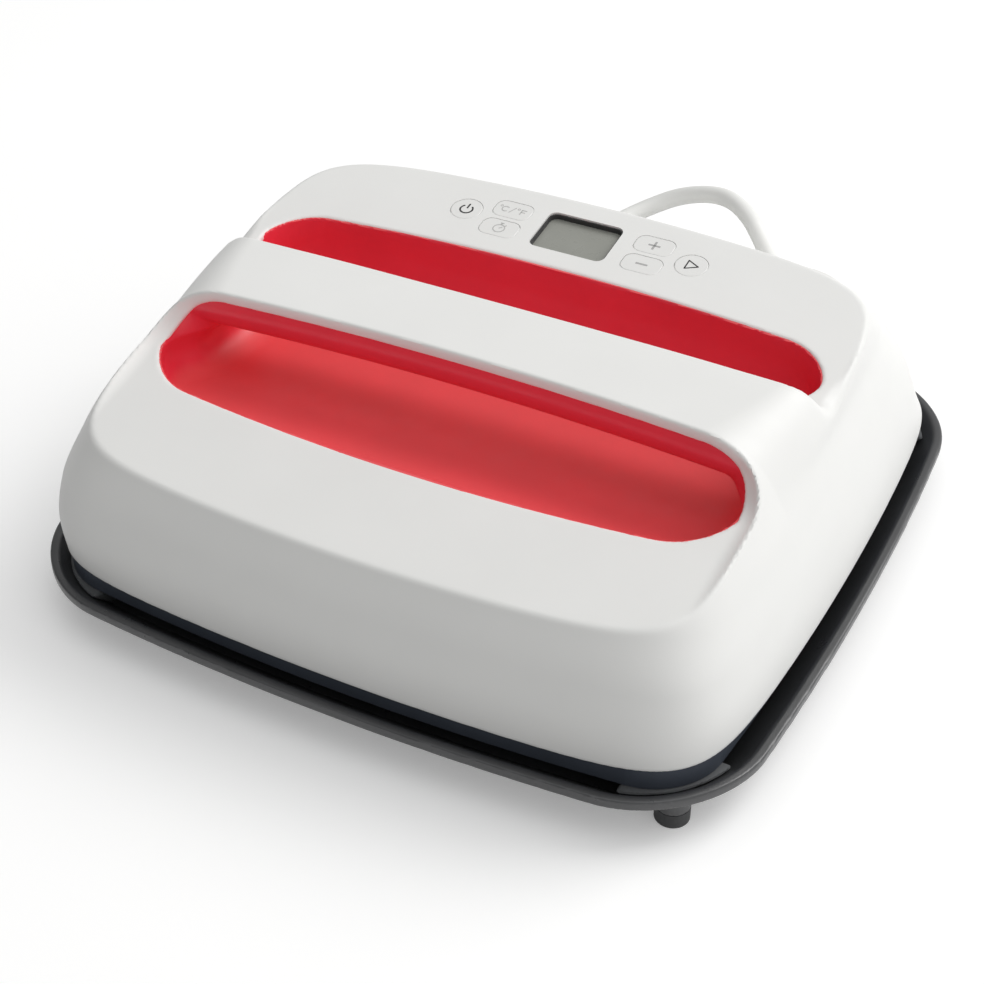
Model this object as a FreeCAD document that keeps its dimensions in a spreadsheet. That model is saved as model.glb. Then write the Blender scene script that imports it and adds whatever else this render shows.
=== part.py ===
import FreeCAD, Part
import math, os, sys

from FreeCAD import Vector as V, Placement, Rotation

# Flat craft heat press standing on its safety base.
# Millimetres, +Z up, +Y towards the back, origin on the surface it stands on, under the middle of the base.

os.makedirs("parts", exist_ok=True)
doc = FreeCAD.newDocument("craft_press")
sheet = doc.addObject("Spreadsheet::Sheet", "Sizes")

SIZES = {
    # shell, by level
    "shell_half": 125, "shell_low": 22.7, "shell_wall": 2.5,
    "bow_side": 7.2, "bow_front": 8.4, "bow_rear": 10.5,
    # panels: height at y = 0 and slope
    "front_panel_z": 87.9, "front_panel_slope": 0.2, "rear_panel_z": 84.7, "rear_panel_slope": 0.155,
    # grip tunnel
    "tunnel_half": 107, "tunnel_front": 79.3, "tunnel_rear": 27.5, "liner_wall": 2,
    # handle
    "grip_front": 43, "grip_rear": 8, "grip_top": 93.6, "grip_bottom": 76.5,
    # plate stack
    "plate_size": 229, "plate_thick": 7, "plate_low": 13.3, "plate_corner": 34,
    "element_size": 194, "element_thick": 1.5, "blanket_thick": 6.2, "shield_size": 196, "shield_rim": 222, "shield_gauge": 0.8,
    "flange_gauge": 2, "flange_low": 21.8,
    "post_pitch": 106, "post_step": 55, "post_dia": 8,
    # base
    "base_half": 132, "rim_low": 14, "rim_top": 17.5, "rim_wide": 3, "pan_low": 3.5, "pan_floor": 5.5,
    "foot_pitch": 108, "foot_dia": 11, "foot_high": 5,
    "pad_pitch": 106, "pad_size": 24, "pad_high": 7.5,
    # control panel
    "panel_y": 45.8, "lens_wide": 28.7, "lens_deep": 20.4, "lens_recess": 2.5, "round_key": 11.7, "key_wide": 14.4, "key_deep": 9.2,
    "key_gap": 0.25, "key_thick": 3.1, "key_travel": 0.7, "board_depth": 8.5, "board_thick": 1.6, "board_wide": 106, "board_deep": 30,
    # power side
    "pboard_wide": 84, "pboard_deep": 44, "pboard_low": 34,
    # lead
    "lead_dia": 7, "relief_len": 20, "plug_long": 34, "plug_wide": 25, "plug_high": 22,
}
for i, (name, value) in enumerate(SIZES.items(), start=1):
    sheet.set("A%d" % i, name)
    sheet.set("B%d" % i, str(value))
    sheet.setAlias("B%d" % i, name)
doc.recompute()


def S(name):
    return float(sheet.get(name))


NODES = []


def node(obj, label):
    obj.Label = label
    NODES.append(obj)
    return obj


def feature(label, shape):
    o = doc.addObject("Part::Feature", label)
    o.Shape = shape
    return node(o, label)


def tool(kind, name, exprs=None, placement=None, **props):
    o = doc.addObject(kind, name)
    for k, v in props.items():
        setattr(o, k, v)
    for k, e in (exprs or {}).items():
        o.setExpression(k, e)
    if placement is not None:
        o.Placement = placement
    return o


def at(x, y, z, rot=None):
    return Placement(V(x, y, z), rot or Rotation())


# ---------------------------------------------------------------- bowed outlines
def outline(z, a, yf, yr, bx, bf, br, r):
    """Closed wire of eight tangent arcs: four bowed sides and four rounded corners."""
    cy = (yf + yr) / 2.0
    h = (yr - yf) / 2.0
    rx = (h * h + bx * bx) / (2 * bx)
    rf = (a * a + bf * bf) / (2 * bf)
    rr = (a * a + br * br) / (2 * br)
    cx = V(a - rx, cy, z)
    cf = V(0, yf + rf, z)
    cr = V(0, yr - rr, z)

    def meet(c1, d1, c2, d2, want):
        # point at distance d1 from c1 and d2 from c2
        d = c2.sub(c1)
        L = math.hypot(d.x, d.y)
        t = (d1 * d1 - d2 * d2 + L * L) / (2 * L)
        k = math.sqrt(max(d1 * d1 - t * t, 0))
        ux, uy = d.x / L, d.y / L
        best = None
        for s in (1, -1):
            p = V(c1.x + ux * t - uy * k * s, c1.y + uy * t + ux * k * s, z)
            if best is None or (p.x * want[0] + p.y * want[1]) > (best.x * want[0] + best.y * want[1]):
                best = p
        return best

    kf = meet(cx, rx - r, cf, rf - r, (1, -1))   # front right corner centre
    kr = meet(cx, rx - r, cr, rr - r, (1, 1))    # rear right corner centre

    def toward(c, k, dist):
        d = k.sub(c)
        L = math.hypot(d.x, d.y)
        return V(c.x + d.x / L * dist, c.y + d.y / L * dist, z)

    p1 = toward(cx, kf, rx)      # side / front corner
    p2 = toward(cf, kf, rf)      # front / front corner
    p3 = toward(cx, kr, rx)
    p4 = toward(cr, kr, rr)

    def arcmid(c, p, q):
        m = V((p.x + q.x) / 2 - c.x, (p.y + q.y) / 2 - c.y, 0)
        L = math.hypot(m.x, m.y)
        rad = math.hypot(p.x - c.x, p.y - c.y)
        return V(c.x + m.x / L * rad, c.y + m.y / L * rad, z)

    def mir(p):
        return V(-p.x, p.y, p.z)

    e = []
    e.append(Part.Arc(p1, V(a, cy, z), p3).toShape())
    e.append(Part.Arc(p3, arcmid(kr, p3, p4), p4).toShape())
    e.append(Part.Arc(p4, V(0, yr, z), mir(p4)).toShape())
    e.append(Part.Arc(mir(p4), mir(arcmid(kr, p3, p4)), mir(p3)).toShape())
    e.append(Part.Arc(mir(p3), V(-a, cy, z), mir(p1)).toShape())
    e.append(Part.Arc(mir(p1), mir(arcmid(kf, p1, p2)), mir(p2)).toShape())
    e.append(Part.Arc(mir(p2), V(0, yf, z), p2).toShape())
    e.append(Part.Arc(p2, arcmid(kf, p1, p2), p1).toShape())
    return Part.Wire(e)


def prism(z0, z1, *args):
    return Part.Face(outline(z0, *args)).extrude(V(0, 0, z1 - z0))


def loft(levels, ruled=False):
    return Part.makeLoft([outline(*v) for v in levels], True, ruled)


def yz_prism(points, half):
    """Polygon in the YZ plane, extruded both ways along X."""
    w = Part.makePolygon([V(-half, y, z) for y, z in points + points[:1]])
    return Part.Face(w).extrude(V(2 * half, 0, 0))


def xz_prism(points, half):
    w = Part.makePolygon([V(x, -half, z) for x, z in points + points[:1]])
    return Part.Face(w).extrude(V(0, 2 * half, 0))


BX, BF, BR = S("bow_side"), S("bow_front"), S("bow_rear")
A0 = S("shell_half")
W = S("shell_wall")
ZL = S("shell_low")
# half width, front, back and corner radius of the shell, level by level
LEVELS = [
    (ZL, A0, -A0, A0, 27),
    (36, 123.9, -125.9, 113.2, 26),
    (50, 121.3, -123.0, 105.2, 25),
    (64, 117.1, -116.3, 98.2, 26),
    (78, 113.2, -109.2, 88.6, 28),
    (87, 112.2, -105.2, 76.3, 28),
    (96, 111.6, -101.8, 62.6, 27),
]


def shell_solid(off, low=None, high=None):
    lv = []
    for i, (z, a, yf, yr, r) in enumerate(LEVELS):
        if i == 0 and low is not None:
            z = low
        if i == len(LEVELS) - 1 and high is not None:
            z = high
        lv.append((z, a - off, yf + off, yr - off * (1.0 if z < 30 else 1.15), BX, BF, BR, r - off))
    return loft(lv)


FZ, FS, RZ, RS = S("front_panel_z"), S("front_panel_slope"), S("rear_panel_z"), S("rear_panel_slope")
GF, GR, GT, GB = S("grip_front"), S("grip_rear"), S("grip_top"), S("grip_bottom")


def below_panels(off, low):
    """Everything under the two sloping panels, lowered by off."""
    f = lambda y: FZ + FS * y - off
    r = lambda y: RZ + RS * y - off
    return yz_prism([(-160, low), (-160, f(-160)), (-GF, f(-GF)), (-GR, r(-GR)), (160, r(160)), (160, low)], 150)


def grip_bar(off, down=0.0):
    """Cross-section of the handle, extruded across the press; off shrinks it, down opens its underside."""
    pts = [(-GF + 1.5 + off, 100), (-GF + 1.5 + off, 93.0), (-GF + off, 89.0), (-41.5 + off, 82.5), (-37.5 + off * 0.8, 78.6 + off),
           (-30, GB + 0.2 + off), (-21, GB + off), (-14 - off * 0.8, 79.2 + off), (-GR - 1.6 - off, 85.0), (-GR - off, 90.0), (-GR - off, 100)]
    if down:
        pts = [(-GF + 1.5 + off, 100), (-GF + 1.5 + off, 93.0), (-GF + off, 89.0), (-GF + off, 60), (-GR - off, 60), (-GR - off, 100)]
    return yz_prism(pts, 150)


def grip_top_limit(off):
    """Flat top of the handle with shoulders that fall towards both ends."""
    t = GT - off
    pts = [(-150, 40), (-150, 82.0 - off), (-112, 84.6 - off), (-107, 86.3 - off), (-102, 88.6 - off), (-96, 91.2 - off), (-90, 92.8 - off), (-82, t),
           (82, t), (90, 92.8 - off), (96, 91.2 - off), (102, 88.6 - off), (107, 86.3 - off), (112, 84.6 - off), (150, 82.0 - off), (150, 40)]
    return xz_prism(pts, 170)


def parting(off):
    """Below the curved joint line between the white handle shell and its under-cover."""
    pts = [(-150, 30), (-150, 74), (-107, 78.5 - off), (-102, 80.7 - off), (-96, 83.2 - off), (-90, 85.2 - off), (-78, 87.6 - off), (-60, 89.0 - off),
           (60, 89.0 - off), (78, 87.6 - off), (90, 85.2 - off), (96, 83.2 - off), (102, 80.7 - off), (107, 78.5 - off), (150, 74), (150, 30)]
    return xz_prism(pts, 170)


TH, TF, TR = S("tunnel_half"), S("tunnel_front"), S("tunnel_rear")


def tunnel(off, z0=40, z1=110):
    return prism(z0, z1, TH + off, -TF - off, TR + off, 1.8, 5.6, 5.6, 22 + off)


FLOOR = [(-79.3, 72.0), (-75.5, 68.6), (-70, 65.6), (-62, 63.0), (-50, 60.6), (-35, 58.6), (-18, 57.2), (-4, 57.0), (6, 58.4), (14, 62.2), (20, 68.4), (24.5, 77.0), (27.5, 88.9)]


def over_floor(off):
    """Space above the grip tunnel's dished floor; off lowers the floor."""
    pts = [(-90, 120), (-90, 72.0 + 6 - off)] + [(y, z - off) for y, z in FLOOR] + [(40, 98 - off), (40, 120)]
    return yz_prism(pts, 150)


# ---------------------------------------------------------------- upper housing
def housing_outer():
    body = shell_solid(0)
    bar = grip_bar(0).common(grip_top_limit(0))
    hole = tunnel(0)
    bar_white = bar.cut(hole.common(parting(0)))
    keep = below_panels(0, 10).cut(hole).fuse(bar_white)
    return body.common(keep)


def housing_inner():
    body = shell_solid(W, low=ZL - 4, high=96)
    bar = grip_bar(W, down=1).common(grip_top_limit(W))
    keep = below_panels(W, 5).fuse(bar)
    return body.common(keep)


outer = housing_outer()
inner = housing_inner()
housing = outer.cut(inner)

PY = S("panel_y")
PZ = RZ + RS * PY
TILT = Rotation(V(1, 0, 0), math.degrees(math.atan(RS)))


def panel(x, y, depth):
    """Placement on the rear panel: x across, y up the slope from the middle of the display, depth below the surface."""
    return Placement(V(0, PY, PZ), TILT).multiply(Placement(V(x, y, -depth), Rotation()))


def rounded(w, d, r, h):
    """Rounded rectangle block, centred on the origin, from z=0 up."""
    b = Part.makeBox(w, d, h, V(-w / 2.0, -d / 2.0, 0))
    es = [e for e in b.Edges if abs(e.Vertexes[0].Z - e.Vertexes[-1].Z) > h * 0.9]
    return b.makeFillet(r, es)


def placed(shape, pl):
    s = shape.copy()
    s.Placement = pl
    return s


KEYS = {
    "key_power": (-43.4, 0.0, 0), "key_go": (43.4, 0.0, 0),
    "key_units": (-27.4, 5.3, 1), "key_timer": (-27.4, -5.7, 1),
    "key_plus": (27.4, 5.3, 1), "key_minus": (27.4, -5.7, 1),
}
GAP = S("key_gap")
cuts = [placed(rounded(S("lens_wide"), S("lens_deep"), 3, 12), panel(0, 0, 6))]
for name, (x, y, rect) in KEYS.items():
    if rect:
        cuts.append(placed(rounded(S("key_wide") + 2 * GAP, S("key_deep") + 2 * GAP, 3.6, 12), panel(x, y, 6)))
    else:
        cuts.append(placed(Part.makeCylinder(S("round_key") / 2 + GAP, 12), panel(x, y, 6)))
# four posts under the panel carry the control board, four corner posts take the case screws
BOARD_POSTS = [(-50, -9.5), (50, -9.5), (-50, 12.5), (50, 12.5)]
posts = [placed(Part.makeCylinder(2.6, S("board_depth") - W + 0.8, V(0, 0, 0)), panel(x, y, S("board_depth"))) for x, y in BOARD_POSTS]
CASE_SCREWS = [(-107, -107), (107, -107), (-106.5, 106.5), (106.5, 106.5)]
z_f0 = S("flange_low") + S("flange_gauge")
bosses = []
for x, y in CASE_SCREWS:
    top = 40 if y < 0 else 31
    rib = Part.makeBox(16, 2.6, top - z_f0, V(2.0, -1.3, 0))
    rib.Placement = Placement(V(x, y, z_f0), Rotation(V(0, 0, 1), math.degrees(math.atan2(y, x))))
    bosses.append(Part.makeCylinder(4.5, top - z_f0, V(x, y, z_f0)).fuse(rib).common(outer))
for b in posts + bosses:
    housing = housing.fuse(b)
for c in cuts:
    housing = housing.cut(c)
for x, y in BOARD_POSTS:
    housing = housing.cut(placed(Part.makeCylinder(1.05, 6.2), panel(x, y, S("board_depth") + 0.2)))
for x, y in CASE_SCREWS:
    housing = housing.cut(Part.makeCylinder(1.55, 14, V(x, y, z_f0 - 1) if y < 0 else V(x, y, z_f0 - 8)))
# hole for the lead's strain relief in the sloping back
LX, LY, LZ = -37.3, 113.2, 36.0
LTURN, LRISE = math.radians(17.2), math.radians(11.5)
LDIR = V(math.sin(LTURN) * math.cos(LRISE), math.cos(LTURN) * math.cos(LRISE), math.sin(LRISE))
LROT = Rotation(V(0, 0, 1), LDIR)
LPL = Placement(V(LX, LY, LZ), LROT)
housing = housing.cut(placed(Part.makeCylinder(5.6, 24, V(0, 0, -12)), LPL))
housing = housing.removeSplitter()
feature("upper_housing", housing)

# ---------------------------------------------------------------- grip liner and handle under-cover
lw = S("liner_wall")
cup = tunnel(-0.2).cut(tunnel(-0.2 - lw, 39, 111).common(over_floor(0)))
cup = cup.common(below_panels(0.5, 10)).common(over_floor(2.2))
flange = tunnel(2.4, 45, 105).cut(tunnel(-0.2, 44, 106)).common(below_panels(W + 0.1, 10)).cut(below_panels(W + 2.1, 9))
flange = flange.common(shell_solid(W + 0.3, low=ZL))
liner = cup.fuse(flange).cut(grip_bar(-0.15).common(grip_top_limit(-1)))
sol = sorted(liner.Solids, key=lambda q: q.Volume)[-1]
feature("grip_liner", sol)

cover = grip_bar(0).common(parting(0.15)).common(tunnel(-0.25)).cut(grip_bar(2.2).common(parting(-30)))
cover = cover.common(prism(70, 95, 106.6, -79, 27, 1.8, 5.6, 5.6, 20))
csol = sorted(cover.Solids, key=lambda q: q.Volume)
feature("handle_cover", csol[-1])

# ---------------------------------------------------------------- lower skirt with its inner flange
zf, gf = S("flange_low"), S("flange_gauge")
ring = prism(15, zf + gf, 122, -122, 120.6, 7, 8.2, 9.5, 25).cut(prism(14, zf, 119.8, -119.8, 118.4, 7, 8.2, 9.5, 23))
hole = Part.makeBox(198, 198, 10, V(-99, -99, zf - 3))
ring = ring.cut(hole)
for x, y in CASE_SCREWS:
    ring = ring.fuse(Part.makeCylinder(4.4, zf + gf - 17, V(x, y, 17)).common(prism(15, zf + gf, 122, -122, 120.6, 7, 8.2, 9.5, 25)))
P, Q = S("post_pitch"), S("post_step")
PLATE_POSTS = [(P, Q), (P, -Q), (-P, Q), (-P, -Q), (Q, P), (-Q, P), (Q, -P), (-Q, -P)]
for x, y in CASE_SCREWS:
    ring = ring.cut(Part.makeCylinder(1.7, 12, V(x, y, 15))).cut(Part.makeCylinder(3.1, 2.6, V(x, y, 16.9)))
for x, y in PLATE_POSTS:
    ring = ring.cut(Part.makeCylinder(1.7, 6, V(x, y, zf - 2)))
inside = shell_solid(W + 0.25, low=ZL - 4, high=96).fuse(Part.makeBox(300, 300, 20, V(-150, -150, ZL - 20.15)))
ring = ring.common(inside)
feature("lower_skirt", sorted(ring.Solids, key=lambda q: q.Volume)[-1])

# ---------------------------------------------------------------- plate stack
pl0, pt = S("plate_low"), S("plate_thick")
p2 = S("plate_size") / 2
plate = prism(pl0, pl0 + pt, p2, -p2, p2, 5.0, 5.0, 5.0, 34)
under = [e for e in plate.Edges if all(abs(v.Z - pl0) < 1e-6 for v in e.Vertexes)]
plate = plate.makeChamfer(0.8, under)
for x, y in PLATE_POSTS:
    plate = plate.cut(Part.makeCylinder(1.55, 5.0, V(x, y, pl0 + pt - 4.8)))
feature("heat_plate", plate)


def pad_body(label, w, d, r, h, z, holes=()):
    """Sketched rounded rectangle, padded up from z; w, d, h are cells of the sheet or numbers."""
    body = doc.addObject("PartDesign::Body", label)
    sk = body.newObject("Sketcher::SketchObject", label + "_sketch")
    plane = [o for o in body.Origin.OriginFeatures if o.Role == "XY_Plane"][0]
    sk.AttachmentSupport = [(plane, "")]
    sk.MapMode = "FlatFace"
    wv = S(w) if isinstance(w, str) else w
    dv = S(d) if isinstance(d, str) else d
    import Sketcher
    x, y = wv / 2.0, dv / 2.0
    g = []
    pts = [(-x + r, -y, x - r, -y), (x, -y + r, x, y - r), (x - r, y, -x + r, y), (-x, y - r, -x, -y + r)]
    for a in pts:
        g.append(sk.addGeometry(Part.LineSegment(V(a[0], a[1], 0), V(a[2], a[3], 0)), False))
    arcs = [(x - r, -y + r, -90, 0), (x - r, y - r, 0, 90), (-x + r, y - r, 90, 180), (-x + r, -y + r, 180, 270)]
    c = []
    for a in arcs:
        circ = Part.Circle(V(a[0], a[1], 0), V(0, 0, 1), r)
        c.append(sk.addGeometry(Part.ArcOfCircle(circ, math.radians(a[2]), math.radians(a[3])), False))
    K = Sketcher.Constraint
    for i in range(4):
        j = (i + 1) % 4
        sk.addConstraint(K("Tangent", g[i], 2, c[i], 1))
        sk.addConstraint(K("Tangent", c[i], 2, g[j], 1))
    sk.addConstraint([K("Horizontal", g[0]), K("Horizontal", g[2]), K("Vertical", g[1]), K("Vertical", g[3])])
    for i in range(1, 4):
        sk.addConstraint(K("Equal", c[0], c[i]))
    sk.addConstraint(K("Radius", c[0], r))
    sk.addConstraint(K("Symmetric", g[0], 1, g[2], 1, -1, 1))
    iw = sk.addConstraint(K("Distance", g[1], 1, g[3], wv))
    idd = sk.addConstraint(K("Distance", g[0], 1, g[2], dv))
    if isinstance(w, str):
        sk.setExpression("Constraints[%d]" % iw, "Sizes." + w)
    if isinstance(d, str):
        sk.setExpression("Constraints[%d]" % idd, "Sizes." + d)
    pad = body.newObject("PartDesign::Pad", label + "_pad")
    pad.Profile = sk
    if isinstance(h, str):
        pad.Length = S(h)
        pad.setExpression("Length", "Sizes." + h)
    else:
        pad.Length = h
    doc.recompute()
    tip = pad
    for n, (kind, hx, hy, ha, hb) in enumerate(holes):
        hk = body.newObject("Sketcher::SketchObject", "%s_hole%d" % (label, n))
        hk.AttachmentSupport = [(plane, "")]
        hk.MapMode = "FlatFace"
        if kind == "round":
            hk.addGeometry(Part.Circle(V(hx, hy, 0), V(0, 0, 1), ha), False)
        else:
            q = [V(hx - ha, hy - hb, 0), V(hx + ha, hy - hb, 0), V(hx + ha, hy + hb, 0), V(hx - ha, hy + hb, 0)]
            for k in range(4):
                hk.addGeometry(Part.LineSegment(q[k], q[(k + 1) % 4]), False)
        pk = body.newObject("PartDesign::Pocket", "%s_pocket%d" % (label, n))
        pk.Profile = hk
        pk.Type = 1
        pk.Reversed = True
        before = tip.Shape.Volume
        doc.recompute()
        if pk.Shape.isNull() or pk.Shape.Volume > before - 0.01:
            raise RuntimeError("pocket cut nothing: " + label)
        tip = pk
    body.Tip = tip
    body.Placement = at(0, 0, z)
    return body


ztop = pl0 + pt
PROBE = (0.0, -22.0)
FUSE = (38.0, -22.0)
node(pad_body("heating_element", "element_size", "element_size", 14, "element_thick", ztop), "heating_element")
zb = ztop + S("element_thick")
node(pad_body("insulation_blanket", "element_size", "element_size", 14, "blanket_thick", zb,
              [("round", PROBE[0], PROBE[1], 4.0, 0), ("box", FUSE[0], FUSE[1], 9.0, 4.0)]), "insulation_blanket")
zs = zb + S("blanket_thick")

sh, sr, sg = S("shield_size"), S("shield_rim"), S("shield_gauge")
rim = placed(rounded(sr, sr, 32, sg), at(0, 0, z_f0))
hat = placed(rounded(sh, sh, 15, zs + sg - z_f0), at(0, 0, z_f0))
core = placed(rounded(sh - 2 * sg, sh - 2 * sg, 14.2, zs - z_f0 + 1), at(0, 0, z_f0 - 1))
shield = rim.fuse(hat).cut(core)
for x, y in PLATE_POSTS:
    shield = shield.cut(Part.makeCylinder(1.7, 3, V(x, y, z_f0 - 1)))
shield = shield.cut(Part.makeCylinder(4.0, 3, V(PROBE[0], PROBE[1], zs - 1)))
feature("heat_shield", shield.removeSplitter())


def group(label, solids):
    c = doc.addObject("Part::Compound", label)
    c.Links = solids
    for s_ in solids:
        s_.Label = label + "_" + s_.Name
    return node(c, label)


# ceramic spacers and screws that hold the plate under the flange
spacers = []
for i, (x, y) in enumerate(PLATE_POSTS):
    o = tool("Part::Cylinder", "spacer%d" % i, {"Radius": "Sizes.post_dia / 2", "Height": "Sizes.element_thick"}, at(x, y, ztop))
    n_ = tool("Part::Cylinder", "spacer%d_bore" % i, None, at(x, y, ztop - 1), Radius=1.7, Height=4)
    spacers.append(tool("Part::Cut", "spacer%d_ring" % i, Base=o, Tool=n_))
group("plate_spacers", spacers)


def screw(name, x, y, z_under, length, r, head_r, head_h, up=True):
    """Pan head screw: head_under face at z_under, shank pointing down (up=True: head above)."""
    a = tool("Part::Cylinder", name + "_shank", None, at(x, y, z_under - length if up else z_under), Radius=r, Height=length)
    b = tool("Part::Cylinder", name + "_head", None, at(x, y, z_under if up else z_under - head_h), Radius=head_r, Height=head_h)
    f = tool("Part::Fuse", name + "_body", Base=a, Tool=b)
    drive = tool("Part::Cylinder", name + "_drive", None, at(x, y, z_under + head_h - 1.0 if up else z_under - head_h), Radius=head_r * 0.42, Height=1.0)
    return tool("Part::Cut", name, Base=f, Tool=drive)


group("plate_screws", [screw("plate_screw%d" % i, x, y, z_f0 + sg, z_f0 + sg - (ztop - 4.5), 1.5, 2.8, 2.0) for i, (x, y) in enumerate(PLATE_POSTS)])
group("case_screws", [screw("case_screw%d" % i, x, y, 19.5, 9.5, 1.5, 2.8, 2.0, up=False) for i, (x, y) in enumerate(CASE_SCREWS)])

# sensor bead and thermal fuse, on the element through windows in the blanket
bead = tool("Part::Cylinder", "probe_can", None, at(PROBE[0], PROBE[1], zb), Radius=3.0, Height=3.4)
stem = tool("Part::Cylinder", "probe_stem", None, at(PROBE[0], PROBE[1], zb + 3.4), Radius=1.4, Height=6.0)
node(tool("Part::Fuse", "temperature_sensor", Base=bead, Tool=stem), "temperature_sensor")
fa = tool("Part::Cylinder", "cutout_can", None, at(FUSE[0] - 6, FUSE[1], zb + 2.1, Rotation(V(0, 1, 0), 90)), Radius=2.1, Height=12)
fb = tool("Part::Cylinder", "cutout_lead", None, at(FUSE[0] - 8.6, FUSE[1], zb + 2.1, Rotation(V(0, 1, 0), 90)), Radius=0.6, Height=17.2)
node(tool("Part::Fuse", "thermal_fuse", Base=fa, Tool=fb), "thermal_fuse")

# ---------------------------------------------------------------- power board on the shield
PBX, PBY = -40.0, 62.0
pz = S("pboard_low")
zshield = zs + sg
pb = tool("Part::Box", "pboard_plate", {"Length": "Sizes.pboard_wide", "Width": "Sizes.pboard_deep"}, at(PBX - S("pboard_wide") / 2, PBY - S("pboard_deep") / 2, pz), Height=1.6)
POSTS = [(PBX + sx * 38, PBY + sy * 18) for sx in (-1, 1) for sy in (-1, 1)]
prev = pb
for i, (x, y) in enumerate(POSTS):
    h_ = tool("Part::Cylinder", "pboard_hole%d" % i, None, at(x, y, pz - 1), Radius=1.7, Height=4)
    prev = tool("Part::Cut", "pboard_cut%d" % i, Base=prev, Tool=h_)
node(prev, "power_board")
st = []
for i, (x, y) in enumerate(POSTS):
    a = tool("Part::Cylinder", "stand%d" % i, None, at(x, y, zshield), Radius=2.8, Height=pz - zshield)
    b = tool("Part::Cylinder", "stand%d_peg" % i, None, at(x, y, pz), Radius=1.5, Height=3.0)
    st.append(tool("Part::Fuse", "stand%d_all" % i, Base=a, Tool=b))
group("board_standoffs", st)
zt = pz + 1.6
# finned heat sink with the power switch device clamped to it
sink = Part.makeBox(30, 3, 16, V(PBX + 2, PBY + 6, zt))
for k in range(7):
    sink = sink.fuse(Part.makeBox(1.2, 11, 16, V(PBX + 2 + k * 4.8, PBY + 9, zt)))
feature("heat_sink", sink.removeSplitter())
tri = tool("Part::Box", "triac_case", None, at(PBX + 12, PBY + 1.5, zt + 2.5), Length=10, Width=4.5, Height=11)
leg = tool("Part::Box", "triac_legs", None, at(PBX + 14, PBY + 3.2, zt), Length=6, Width=0.8, Height=2.5)
node(tool("Part::Fuse", "power_triac", Base=tri, Tool=leg), "power_triac")
tb = tool("Part::Box", "terminal_case", None, at(PBX + 6, PBY - 20, zt), Length=26, Width=10, Height=11)
prev = tb
for k in range(4):
    hole_ = tool("Part::Cylinder", "terminal_well%d" % k, None, at(PBX + 9.5 + k * 6.3, PBY - 15, zt + 7), Radius=2.2, Height=5)
    prev = tool("Part::Cut", "terminal_cut%d" % k, Base=prev, Tool=hole_)
node(prev, "terminal_block")
core1 = tool("Part::Box", "supply_core", None, at(PBX - 32, PBY - 12, zt), Length=20, Width=17, Height=15)
core2 = tool("Part::Box", "supply_coil", None, at(PBX - 29.5, PBY - 14.5, zt + 2), Length=15, Width=22, Height=11)
node(tool("Part::Fuse", "supply_transformer", Base=core1, Tool=core2), "supply_transformer")
cap = tool("Part::Cylinder", "filter_capacitor", None, at(PBX - 3.5, PBY - 10, zt), Radius=5, Height=14)
node(cap, "filter_capacitor")
tab = Part.makeBox(12, 7, 0.8, V(PBX + 44, 101.0, z_f0 + sg)).fuse(Part.makeBox(6.3, 0.8, 8, V(PBX + 47, 101.0, z_f0 + sg)))
feature("earth_tab", tab.removeSplitter())

# ---------------------------------------------------------------- control board, display and keys (in the panel's tilted frame)
bd, bt = S("board_depth"), S("board_thick")
BY = 1.5
cb = tool("Part::Box", "cboard_plate", {"Length": "Sizes.board_wide", "Width": "Sizes.board_deep", "Height": "Sizes.board_thick"}, panel(-S("board_wide") / 2, BY - S("board_deep") / 2, bd + bt))
prev = cb
for i, (x, y) in enumerate(BOARD_POSTS):
    h_ = tool("Part::Cylinder", "cboard_hole%d" % i, None, panel(x, y, bd + bt + 1), Radius=1.3, Height=4)
    prev = tool("Part::Cut", "cboard_cut%d" % i, Base=prev, Tool=h_)
node(prev, "control_board")
scs = []
for i, (x, y) in enumerate(BOARD_POSTS):
    a = tool("Part::Cylinder", "bscrew%d_shank" % i, None, panel(x, y, bd + bt), Radius=1.0, Height=6.6)
    b = tool("Part::Cylinder", "bscrew%d_head" % i, None, panel(x, y, bd + bt + 1.5), Radius=2.1, Height=1.5)
    scs.append(tool("Part::Fuse", "bscrew%d" % i, Base=a, Tool=b))
group("board_screws", scs)
lens = placed(rounded(33, 25, 2, 1.3), panel(0, 0, W + 1.3))
feature("display_lens", lens)
lcd = placed(rounded(33, 25, 1.5, bd - W - 1.3), panel(0, 0, bd))
feature("display_module", lcd)
SWZ = bd - 3.4
sw = []
for i, (name, (x, y, rect)) in enumerate(KEYS.items()):
    a = tool("Part::Box", "switch%d_case" % i, None, panel(x - 3, y - 3, bd), Length=6, Width=6, Height=2.4)
    b = tool("Part::Cylinder", "switch%d_plunger" % i, None, panel(x, y, bd - 2.4), Radius=1.7, Height=0.5)
    sw.append(tool("Part::Fuse", "switch%d" % i, Base=a, Tool=b))
group("tactile_switches", sw)
kt = S("key_thick")
stem_low = bd - 2.4 - 0.5 - S("key_travel") - 0.15
for name, (x, y, rect) in KEYS.items():
    if rect:
        k = rounded(S("key_wide"), S("key_deep"), 3.35, kt)
        lug = rounded(S("key_wide") + 2.4, 5.0, 1.0, 0.8)
    else:
        k = Part.makeCylinder(S("round_key") / 2, kt)
        lug = rounded(5.0, S("round_key") + 2.6, 1.0, 0.8)
    top_e = [e for e in k.Edges if all(abs(v.Z - kt) < 1e-6 for v in e.Vertexes)]
    k = k.makeFillet(0.35, top_e)
    k.translate(V(0, 0, -kt))
    lug.translate(V(0, 0, -(W + 0.15 + 0.8)))
    st_ = Part.makeCylinder(1.6, stem_low - kt + 0.1, V(0, 0, -stem_low))
    k = k.fuse(lug).fuse(st_).removeSplitter()
    feature(name, placed(k, panel(x, y, 0)))
node(tool("Part::Cylinder", "buzzer", None, panel(-8, -2, bd + bt + 7.5), Radius=6.0, Height=7.5), "buzzer")

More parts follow.
